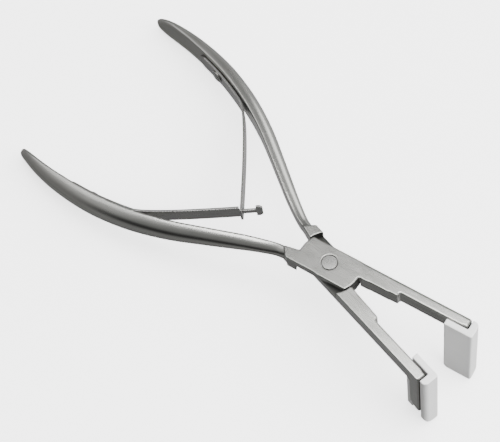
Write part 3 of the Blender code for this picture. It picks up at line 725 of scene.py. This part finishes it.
def shoulder_block(side):
    """Block that joins the plate to the handle."""
    return flat_solid("shoulder", [rounded_outline([
        (-HANDLE_START, -SHOULDER_ROOT_INSET * side, 0),
        (-SHOULDER_REACH, -SHOULDER_INSET * side, SHOULDER_INNER_ROUNDING),
        (-SHOULDER_OUTER_REACH, -HANDLE_SIDE_REAR_WIDTH * side, SHOULDER_OUTER_ROUNDING),
        (-HANDLE_START, -HANDLE_SIDE_REAR_WIDTH * side, 0),
    ])], -JOINT_THICKNESS, 0)


def shoulder_foot(side):
    """Lower rear corner of the shoulder, which slopes out towards the handle as it goes down."""
    rings = []
    for corners, height in ((FOOT_UPPER_CORNERS, FOOT_TOP), (FOOT_LOWER_CORNERS, -JOINT_THICKNESS)):
        outline = [(-HANDLE_START, -SHOULDER_ROOT_INSET), (-SHOULDER_REACH, -SHOULDER_INSET)]
        outline += [*corners, (-HANDLE_START, -FOOT_SIDE)]
        rings.append([(x, y * side, height) for x, y in outline])
    return loft("foot", rings)


def jaw_arm(side):
    """Jaw arm and hanging paddle, where the plan view and the side view meet."""
    inner = SLEEVE_SLAB + SLEEVE_SLAB_GAP - SLEEVE_PROUD
    paddle_back = JAW_REACH - PADDLE_LENGTH
    plan = rounded_outline([
        (0, JAW_SIDE_WIDTH * side, 0),
        (0, JAW_MEETING_GAP * side, 0),
        (PLATE_RADIUS, JAW_MEETING_GAP * side, 0),
        (JAW_STEP_PLACE, (JAW_MEETING_GAP + JAW_INNER_TAPER) * side, JAW_STEP_FILLET),
        (JAW_STEP_PLACE + JAW_STEP_RUN, inner * side, JAW_STEP_FILLET),
        (paddle_back, inner * side, 0),
        (JAW_REACH, (inner + PADDLE_TAPER) * side, 0),
        (JAW_REACH, JAW_SIDE_WIDTH * side, JAW_END_RADIUS),
    ])
    profile = rounded_outline([
        (-OVERRUN, 0, 0),
        (-OVERRUN, -JOINT_THICKNESS, 0),
        (paddle_back, -JOINT_THICKNESS, PADDLE_ROOT_RADIUS),
        (paddle_back, -PADDLE_DROP, PADDLE_CORNER_RADIUS),
        (JAW_REACH, -PADDLE_DROP, 0),
        (JAW_REACH, -JAW_END_FALL, 0),
        (JAW_REACH - JAW_END_BEVEL, 0, 0),
    ])
    reach = JAW_SIDE_WIDTH + OVERRUN
    side_view = flat_solid("side_view", [profile], -reach, reach, upright())
    return combine(flat_solid("arm", [plan], -PADDLE_DROP - OVERRUN, 0), [("INTERSECT", side_view)])


def pivot_bore():
    """Cutter for the pivot rivet's stepped hole."""
    head = PIVOT_HEAD_RADIUS + PIVOT_CLEARANCE
    shank = PIVOT_SHANK_RADIUS + PIVOT_CLEARANCE
    under_head = -PIVOT_HEAD_HEIGHT - PIVOT_CLEARANCE
    over_head = -JOINT_THICKNESS - under_head
    return turned("bore", [
        (0, OVERRUN),
        (head, OVERRUN),
        (head, under_head),
        (shank, under_head),
        (shank, over_head),
        (head, over_head),
        (head, -JOINT_THICKNESS - OVERRUN),
        (0, -JOINT_THICKNESS - OVERRUN),
    ])


def along_forging(side):
    """Straightens the handle's bow, so that the polishing lines of its steel follow it."""
    def straightened(place):
        share = max(0, min(1, handle_place(-place.x)))
        bow = inner_face(share).y - inner_face(0).y
        return Vector((place.x, place.y - bow * side, place.z))
    return straightened


def forging(name, side, on_top):
    """One half: handle, shoulder, lap plate, jaw arm and paddle in one piece."""
    reach = PLATE_RADIUS + GRIP_WIDTH
    square = [(-reach, -reach), (reach, -reach), (reach, reach), (-reach, reach)]
    middle = -JOINT_THICKNESS / 2
    lap = LAP_CLEARANCE / 2
    low, high = (-JOINT_THICKNESS - OVERRUN, middle + lap) if on_top else (middle - lap, OVERRUN)
    shoulder = (shoulder_block, shoulder_foot) if on_top else (shoulder_block,)
    made = combine(handle_blank(name, side), [
        ("DIFFERENCE", flat_solid("ground_above", [square], 0, reach)),
        ("DIFFERENCE", flat_solid("ground_below", [square], -reach, -JOINT_THICKNESS)),
        *(("UNION", shape(side)) for shape in (joint_plate, *shoulder, jaw_arm)),
        ("DIFFERENCE", disc("recess", PLATE_RADIUS + SHOULDER_CLEARANCE, low, high)),
        ("DIFFERENCE", pivot_bore()),
    ])
    return finished(soften(made, FORGING_VOXEL, FORGING_PASSES), name, row_matrix(side), along_forging(side))


# Rivets

def rounded_profile(corners):
    """Turned profile through corners (radius, z, rounding), open at both ends of the axis."""
    points = rounded_outline(corners + [(-OVERRUN, corners[-1][1], 0), (-OVERRUN, corners[0][1], 0)])
    return [tuple(point) for point in points[:-2]]


def pivot_rivet():
    """Flush rivet with a head at each end and a thinner shank between them."""
    profile = rounded_profile([
        (0, 0, 0),
        (PIVOT_HEAD_RADIUS, 0, PIVOT_EDGE_ROUNDING),
        (PIVOT_HEAD_RADIUS, -PIVOT_HEAD_HEIGHT, 0),
        (PIVOT_SHANK_RADIUS, -PIVOT_HEAD_HEIGHT, 0),
        (PIVOT_SHANK_RADIUS, PIVOT_HEAD_HEIGHT - JOINT_THICKNESS, 0),
        (PIVOT_HEAD_RADIUS, PIVOT_HEAD_HEIGHT - JOINT_THICKNESS, 0),
        (PIVOT_HEAD_RADIUS, -JOINT_THICKNESS, PIVOT_EDGE_ROUNDING),
        (0, -JOINT_THICKNESS, 0),
    ])
    return sharpened(finished(turned("pivot", profile), "pivot_rivet_turned", row_matrix(0)))


def sharpened(made):
    """Keeps the turned corners crisp."""
    made.data.set_sharp_from_angle(angle=SHARP_ANGLE)
    return made


def leaf_rivet(name, side):
    """Domed rivet through the leaf into the handle."""
    seat = LEAF_RIVET_SEAT
    dome = LEAF_RIVET_HEAD_HEIGHT - LEAF_RIVET_RIM
    steps = SECTION_STEPS // 2
    profile = [
        (LEAF_RIVET_HEAD_RADIUS * math.sin(math.pi / 2 * step / steps),
         seat + LEAF_RIVET_RIM + dome * math.cos(math.pi / 2 * step / steps))
        for step in range(steps + 1)
    ]
    profile += [
        (LEAF_RIVET_HEAD_RADIUS, seat),
        (LEAF_RIVET_SHANK_RADIUS, seat),
        (LEAF_RIVET_SHANK_RADIUS, -LEAF_RIVET_DEPTH),
        (0, -LEAF_RIVET_DEPTH),
    ]
    origin, _, inward = inner_frame(handle_place(LEAF_RIVET_PLACE))
    across = Vector((0, 0, 1))
    out = Vector((inward.x, inward.y * side, 0))
    turn = Matrix((across.cross(out), across, out)).transposed().to_4x4()
    place = Matrix.Translation((origin.x, origin.y * side, -JOINT_THICKNESS / 2)) @ turn
    return sharpened(finished(turned("rivet", profile), name, row_matrix(side) @ place))


# Sleeves

def sleeve(name, side):
    """White sleeve: a slab on the paddle's inner face, with a front and a back wall."""
    face = -SLEEVE_PROUD
    slab = face + SLEEVE_SLAB
    bottom = SLEEVE_RIM - SLEEVE_HEIGHT
    front_inside = JAW_REACH + SLEEVE_FRONT_GAP
    front = front_inside + SLEEVE_FRONT_WALL
    back_inside = JAW_REACH - PADDLE_LENGTH - SLEEVE_CLEARANCE
    back = back_inside - SLEEVE_BACK_WALL
    plan = rounded_outline([
        (back, face * side, 0),
        (front, face * side, SLEEVE_END_BREAK),
        (front, SLEEVE_FRONT_WIDTH * side, SLEEVE_FRONT_CORNER),
        (front_inside, SLEEVE_FRONT_WIDTH * side, 0),
        (front_inside, slab * side, 0),
        (back_inside, slab * side, 0),
        (back_inside, SLEEVE_BACK_WIDTH * side, 0),
        (back, SLEEVE_BACK_WIDTH * side, 0),
    ])
    top = SLEEVE_RIM + OVERRUN
    reach = SLEEVE_FRONT_WIDTH + OVERRUN
    side_view = rounded_outline([
        (back, top, 0),
        (back, bottom, SLEEVE_SLAB_CORNER),
        (front + OVERRUN, bottom, 0),
        (front + OVERRUN, top, 0),
    ])
    end_view = rounded_outline([
        (-reach * side, top, 0),
        (-reach * side, bottom, 0),
        (SLEEVE_FRONT_WIDTH * side, bottom, SLEEVE_WALL_CORNER),
        (SLEEVE_FRONT_WIDTH * side, top, 0),
    ])
    under_arm = -JOINT_THICKNESS - SLEEVE_CLEARANCE
    notch = rounded_outline([
        (back - OVERRUN, top, 0),
        (back - OVERRUN, under_arm, 0),
        (back_inside, under_arm, PADDLE_ROOT_RADIUS - SLEEVE_CLEARANCE),
        (back_inside, under_arm - PADDLE_ROOT_RADIUS, 0),
        (back_inside + SLEEVE_CLEARANCE, under_arm - PADDLE_ROOT_RADIUS, 0),
        (back_inside + SLEEVE_CLEARANCE, top, 0),
    ])
    facing = Matrix.Rotation(math.radians(90), 4, "Z") @ upright()
    low, high = sorted((-slab * side, -reach * side))
    made = combine(flat_solid(name, [plan], bottom - OVERRUN, SLEEVE_RIM), [
        ("INTERSECT", flat_solid("side_view", [side_view], -reach, reach, upright())),
        ("INTERSECT", flat_solid("end_view", [end_view], back - OVERRUN, front + OVERRUN, facing)),
        ("DIFFERENCE", flat_solid("notch", [notch], low, high, upright())),
    ])
    return finished(soften(made, SLEEVE_VOXEL, SLEEVE_PASSES), name, row_matrix(side))


# Springs

def crossing_point(side):
    """Where the leaves cross at rest, in this half's own frame and before mirroring."""
    return Matrix.Rotation(-HALF_OPENING, 2) @ Vector((-LEAF_CROSSING_BACK, -LEAF_CROSSING_SIDE * side))


def leaf_path(side, tongue):
    """Middle line of a leaf, with the run to where the leaves cross and the whole run.

    It lies along the handle, leaves it in a smooth bend to the crossing and goes straight past it.
    """
    points = []
    for step in range(LEAF_STATIONS + 1):
        share = step / LEAF_STATIONS
        distance = LEAF_ROOT_PLACE + (LEAF_TAKE_OFF_PLACE - LEAF_ROOT_PLACE) * share
        gap = LEAF_ROOT_GAP + (LEAF_TAKE_OFF_GAP - LEAF_ROOT_GAP) * share
        origin, along, inward = inner_frame(handle_place(distance))
        points.append(origin + inward * (gap + LEAF_THICKNESS / 2))
    take_off = points[-1]
    bend = take_off - along * LEAF_BEND_LENGTH
    crossing = crossing_point(side)
    for step in range(1, LEAF_STATIONS + 1):
        t = step / LEAF_STATIONS
        points.append(take_off * (1 - t) ** 2 + bend * 2 * t * (1 - t) + crossing * t ** 2)
    run = sum((second - first).length for first, second in zip(points, points[1:]))
    past = TONGUE_AFTER_CROSSING + T_HEAD_LENGTH if tongue else SLOT_LENGTH / 2 + SLOT_END_BRIDGE
    points.append(crossing + (crossing - bend).normalized() * past)
    return [Vector((point.x, point.y * side, -JOINT_THICKNESS / 2)) for point in points], run, run + past


def leaf_half_width(run, total):
    """Half of the leaf's width at a run along it; its root is rounded."""
    share = smooth_share(LEAF_WIDTH_SHARES, min(1, run / total), 1)
    width = LEAF_ROOT_WIDTH + (LEAF_TIP_WIDTH - LEAF_ROOT_WIDTH) * share
    return width / 2 * end_rounding(run + LEAF_ROOT_LEAD, LEAF_ROOT_WIDTH / 2)


def leaf_blank(name, tongue, crossing, total):
    """The leaf before bending: x along it, y across it, with its tongue and T head or its slot."""
    blade_end = crossing - TONGUE_BEFORE_CROSSING if tongue else total - SLOT_END_CHAMFER
    edge = []
    for step in range(LEAF_STATIONS + 1):
        run = blade_end * (1 - math.cos(math.pi / 2 * step / LEAF_STATIONS))
        edge.append((run, leaf_half_width(run, total)))
    tip = leaf_half_width(total, total)
    if tongue:
        head_start = crossing + TONGUE_AFTER_CROSSING
        edge += [
            (blade_end, TONGUE_WIDTH / 2),
            (head_start, TONGUE_WIDTH / 2),
            (head_start, tip),
            (total - T_HEAD_CHAMFER, tip),
            (total, tip - T_HEAD_CHAMFER),
        ]
    else:
        edge.append((total, tip - SLOT_END_CHAMFER))
    outlines = [edge + [(run, -width) for run, width in reversed(edge)]]
    if not tongue:
        half_height = TONGUE_WIDTH / 2 + SLOT_CLEARANCE
        near, far = crossing - SLOT_LENGTH / 2, crossing + SLOT_LENGTH / 2
        outlines.append([(near, -half_height), (near, half_height), (far, half_height), (far, -half_height)])
    blank = flat_solid(name, outlines, -LEAF_THICKNESS / 2, LEAF_THICKNESS / 2)
    mesh = evaluated_mesh(soften(blank, LEAF_VOXEL, LEAF_PASSES))
    bpy.data.objects.remove(blank, do_unlink=True)
    return new_object(name, mesh)


def bending_tree():
    """Node group that lays a flat blank along a path.

    The blank's x becomes the run along the path, its y the height and its z the thickness.
    """
    tree = bpy.data.node_groups.new("bend_blank_along_path", "GeometryNodeTree")
    tree.interface.new_socket("Blank", in_out="INPUT", socket_type="NodeSocketGeometry")
    tree.interface.new_socket("Path", in_out="INPUT", socket_type="NodeSocketObject")
    tree.interface.new_socket("Steel", in_out="INPUT", socket_type="NodeSocketMaterial")
    tree.interface.new_socket("Leaf", in_out="OUTPUT", socket_type="NodeSocketGeometry")
    entry = add_node(tree, "NodeGroupInput").outputs
    path = add_node(tree, "GeometryNodeObjectInfo", {"transform_space": "RELATIVE"}, {
        "Object": entry["Path"]})
    unbent = add_node(tree, "GeometryNodeInputPosition").outputs["Position"]
    flat = add_node(tree, "ShaderNodeSeparateXYZ", None, {"Vector": unbent})
    stored = {"data_type": "FLOAT_VECTOR", "domain": "POINT"}
    kept = add_node(tree, "GeometryNodeStoreNamedAttribute", stored, {
        "Geometry": entry["Blank"], "Name": OWN_PLACE, "Value": unbent})
    spot = add_node(tree, "GeometryNodeSampleCurve", {"mode": "LENGTH", "use_all_curves": True}, {
        "Curves": path.outputs["Geometry"], "Length": flat.outputs["X"]})
    across = add_node(tree, "ShaderNodeVectorMath", {"operation": "CROSS_PRODUCT"}, {
        0: spot.outputs["Tangent"], 1: (0, 0, 1)})
    outward = add_node(tree, "ShaderNodeVectorMath", {"operation": "SCALE"}, {
        0: across.outputs["Vector"], "Scale": flat.outputs["Z"]})
    height = add_node(tree, "ShaderNodeCombineXYZ", None, {"Z": flat.outputs["Y"]})
    offset = add_node(tree, "ShaderNodeVectorMath", {"operation": "ADD"}, {
        0: outward.outputs["Vector"], 1: height.outputs["Vector"]})
    place = add_node(tree, "ShaderNodeVectorMath", {"operation": "ADD"}, {
        0: spot.outputs["Position"], 1: offset.outputs["Vector"]})
    bent = add_node(tree, "GeometryNodeSetPosition", None, {
        "Geometry": kept.outputs["Geometry"], "Position": place.outputs["Vector"]})
    real = add_node(tree, "GeometryNodeRealizeInstances", None, {"Geometry": bent.outputs["Geometry"]})
    painted = add_node(tree, "GeometryNodeSetMaterial", None, {
        "Geometry": real.outputs["Geometry"], "Material": entry["Steel"]})
    add_node(tree, "NodeGroupOutput", None, {"Leaf": painted.outputs["Geometry"]})
    return tree


def spring_leaf(name, side, tongue, tree, steel):
    """Leaf spring, bent along its path by the node group."""
    points, crossing, total = leaf_path(side, tongue)
    curve = bpy.data.curves.new(name + "_path", "CURVE")
    curve.dimensions = "3D"
    spline = curve.splines.new("POLY")
    spline.points.add(len(points) - 1)
    for point, place in zip(spline.points, points):
        point.co = (*place, 1)
    path = new_object(name + "_path", curve)
    blank = leaf_blank(name, tongue, crossing, total)
    bend = blank.modifiers.new("bend", "NODES")
    bend.node_group = tree
    sockets = {item.name: item.identifier for item in tree.interface.items_tree if item.in_out == "INPUT"}
    bend[sockets["Path"]] = path
    bend[sockets["Steel"]] = steel
    made = finished(blank, name, row_matrix(side))
    bpy.data.objects.remove(path, do_unlink=True)
    return made, row_matrix(side) @ points[LEAF_STATIONS], row_matrix(side) @ points[2 * LEAF_STATIONS]


# Stage

def studio_floor():
    """Large pale sheet under the pliers, which the steel doesn't mirror."""
    half = FLOOR_HALF_WIDTH
    corners = [(-half, -half, 0), (half, -half, 0), (half, half, 0), (-half, half, 0)]
    mesh = bpy.data.meshes.new("studio_floor")
    mesh.from_pydata(corners, [], [(0, 1, 2, 3)])
    made = new_object("studio_floor", mesh)
    made.location.z = -FLOOR_DROP
    made.visible_glossy = False
    made.visible_diffuse = False
    paper = bpy.data.materials.new("pale_paper")
    paper.use_nodes = True
    shader = paper.node_tree.nodes["Principled BSDF"]
    for key, value in (
        ("Base Color", colour("f6f6f6")),
        ("Roughness", 0.9),
        ("Specular IOR Level", 0.1),
        ("Emission Color", colour("ffffff")),
        ("Emission Strength", FLOOR_GLOW),
    ):
        shader.inputs[key].default_value = value
    mesh.materials.append(paper)
    return made


def studio_room():
    """Room of four corners: the brightest behind the jaws, the darkest in front of them."""
    world = bpy.data.worlds.new("studio_room")
    world.use_nodes = True
    bpy.context.scene.world = world
    tree = world.node_tree
    direction = add_node(tree, "ShaderNodeTexCoord").outputs["Generated"]
    axes = add_node(tree, "ShaderNodeSeparateXYZ", None, {"Vector": direction}).outputs
    height = add_node(tree, "ShaderNodeMapRange", None, {
        "Value": axes["Z"], "From Min": -1.0, "From Max": 1.0}).outputs["Result"]
    walls = []
    for stops in (FRONT_LEFT_WALL, FRONT_RIGHT_WALL, BACK_LEFT_WALL, BACK_RIGHT_WALL):
        ramp = add_node(tree, "ShaderNodeValToRGB", None, {"Fac": height})
        elements = ramp.color_ramp.elements
        elements[0].position, elements[1].position = stops[0][0], stops[-1][0]
        for place, _ in stops[1:-1]:
            elements.new(place)
        for element, (place, level) in zip(elements, stops):
            element.color = (level, level, level, 1)
        walls.append(ramp.outputs["Color"])
    sides = []
    for axis, (start, end) in (("X", LEFT_TO_RIGHT), ("Y", FRONT_TO_BACK)):
        share = add_node(tree, "ShaderNodeMapRange", {"interpolation_type": "SMOOTHSTEP"}, {
            "Value": axes[axis], "From Min": start, "From Max": end})
        sides.append(share.outputs["Result"])
    rightward, backward = sides
    # The front pair is mixed first, then the back pair, and last these two results.
    for share in (rightward, rightward, backward):
        left = walls.pop(0)
        right = walls.pop(0)
        walls.append(add_node(tree, "ShaderNodeMix", {"data_type": "RGBA"}, {
            0: share, 6: left, 7: right}).outputs[2])
    tree.links.new(walls[0], tree.nodes["Background"].inputs["Color"])


def soft_box(name, place, size, radiance):
    """Square area light that faces the pliers; its power follows from its size and brightness."""
    light = bpy.data.lights.new(name, "AREA")
    light.shape = "SQUARE"
    light.size = size
    light.energy = radiance * math.pi * size * size
    made = new_object(name, light)
    made.location = place
    made.rotation_euler = (-Vector(place)).to_track_quat("-Z", "Y").to_euler()
    return made


def studio_camera():
    """Camera at the photograph's angle."""
    lens = bpy.data.cameras.new("camera")
    lens.lens = CAMERA_LENS
    lens.sensor_width = CAMERA_SENSOR
    lens.clip_start = CAMERA_CLIP_START
    made = new_object("camera", lens)
    made.location = CAMERA_PLACE
    made.rotation_euler = [math.radians(angle) for angle in CAMERA_TURN]
    bpy.context.scene.camera = made


# Assembly

def place_piece(made, body, node, material=None):
    """The piece rides on a body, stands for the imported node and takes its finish."""
    if material:
        made.data.materials.clear()
        made.data.materials.append(material)
    if body:
        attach(made, body)
    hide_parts(node)
    return made


def main():
    lap = JOINT_THICKNESS / 2
    upper_roof = -lap - LAP_CLEARANCE / 2 + LAP_FACE_MARGIN
    upper_steel = satin_forged_stainless("satin_stainless_upper", -JOINT_THICKNESS, upper_roof)
    lower_steel = satin_forged_stainless("satin_stainless_lower", -lap - LAP_CLEARANCE, -JOINT_TOP_MARGIN)
    spring_steel = rolled_spring_steel()
    rivet_steel = turned_rivet_steel()
    plastic = moulded_white_plastic()
    bending = bending_tree()
    halves = (("top_half", "bottom_half", "tongue", 1), ("bottom_half", "top_half", "slotted", -1))
    for body, other, leaf_kind, side in halves:
        on_top = side == 1
        forged = forging("forged_" + body, side, on_top)
        place_piece(forged, body, body + "_forging", upper_steel if on_top else lower_steel)
        moulded = sleeve("white_sleeve_" + body, side)
        place_piece(moulded, body, body + "_sleeve", plastic)
        leaf, take_off, crossing = spring_leaf(leaf_kind + "_leaf", side, on_top, bending, spring_steel)
        place_piece(leaf, None, leaf_kind + "_spring_leaf")
        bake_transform(leaf)
        rivet = leaf_rivet("domed_rivet_" + leaf_kind, side)
        place_piece(rivet, body, leaf_kind + "_leaf_rivet", rivet_steel)
    place_piece(pivot_rivet(), "top_half", "pivot_rivet", rivet_steel)
    studio_floor()
    studio_room()
    boxes = [soft_box(*entry) for entry in SOFT_BOXES]
    # The last box only lightens the shadows, so the steel doesn't mirror it.
    boxes[-1].visible_glossy = False
    studio_camera()


main()
